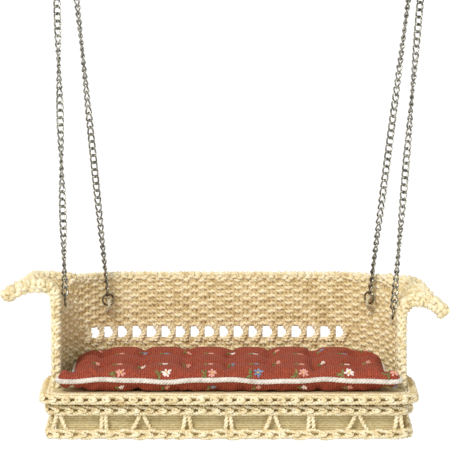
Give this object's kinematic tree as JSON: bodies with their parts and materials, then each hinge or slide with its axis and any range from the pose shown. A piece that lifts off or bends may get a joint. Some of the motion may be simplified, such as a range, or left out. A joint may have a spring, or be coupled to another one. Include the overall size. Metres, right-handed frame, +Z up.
{
  "type": "miniature porch swing",
  "caption": "Dolls-house hanging porch swing: woven seat with flared arms, tufted loose cushion and fine chains to ceiling hooks.",
  "frame": {"origin": "on the ceiling, midway between the stems of the two hooks", "axes": "+Z up, X across the seat, -Y towards the front of the seat"},
  "size_m": [0.1305, 0.0532, 0.215],
  "materials": {
    "cane_cord": "matte woven cord",
    "braid_cord": "matte braided cord",
    "lining_mat": "fine woven mat",
    "basswood": "plain thin board",
    "stake_wire": "dull wire",
    "dark_nickel": "darkened plating",
    "hook_steel": "darkened plating",
    "tie_thread": "twisted thread",
    "cushion_cotton": "ribbed printed cotton",
    "piping_cord": "twisted cord"
  },
  "bodies": {
    "ceiling_hooks": {"hook_left": "hook_steel", "hook_right": "hook_steel"},
    "swing": {"arm_braid_left": "braid_cord", "arm_braid_right": "braid_cord", "arm_weave_left": "cane_cord", "arm_weave_right": "cane_cord", "back_lower_weave": "cane_cord", "back_stakes": "stake_wire", "back_upper_weave": "cane_cord", "chain_front_left": "dark_nickel", "chain_front_right": "dark_nickel", "chain_rear_left": "dark_nickel", "chain_rear_right": "dark_nickel", "ear_braid_left": "braid_cord", "ear_braid_right": "braid_cord", "jump_ring_front_left": "dark_nickel", "jump_ring_front_right": "dark_nickel", "jump_ring_rear_left": "dark_nickel", "jump_ring_rear_right": "dark_nickel", "seat_board": "basswood", "seat_deck_weave": "cane_cord", "seat_rim_braid": "braid_cord", "skirt_lining": "lining_mat", "skirt_lower_braid": "braid_cord", "skirt_struts": "cane_cord", "skirt_upper_braid": "braid_cord", "tie_front_left": "tie_thread", "tie_front_right": "tie_thread", "tie_rear_left": "tie_thread", "tie_rear_right": "tie_thread", "top_braid": "braid_cord", "top_ring_left": "dark_nickel", "top_ring_right": "dark_nickel", "window_wraps": "cane_cord"},
    "cushion": {"cushion": "cushion_cotton", "cushion_piping": "piping_cord", "tuft_stitches": "tie_thread"}
  },
  "joints": [
    {"name": "swing", "type": "hinge", "parent": "ceiling_hooks", "child": "swing", "pos_m": [0, 0, -0.0076], "axis": [1, 0, 0], "range_deg": [-25, 25]},
    {"name": "cushion_pull", "type": "slide", "parent": "swing", "child": "cushion", "axis": [0, -1, 0], "range_m": [0, 0.045]}
  ]
}
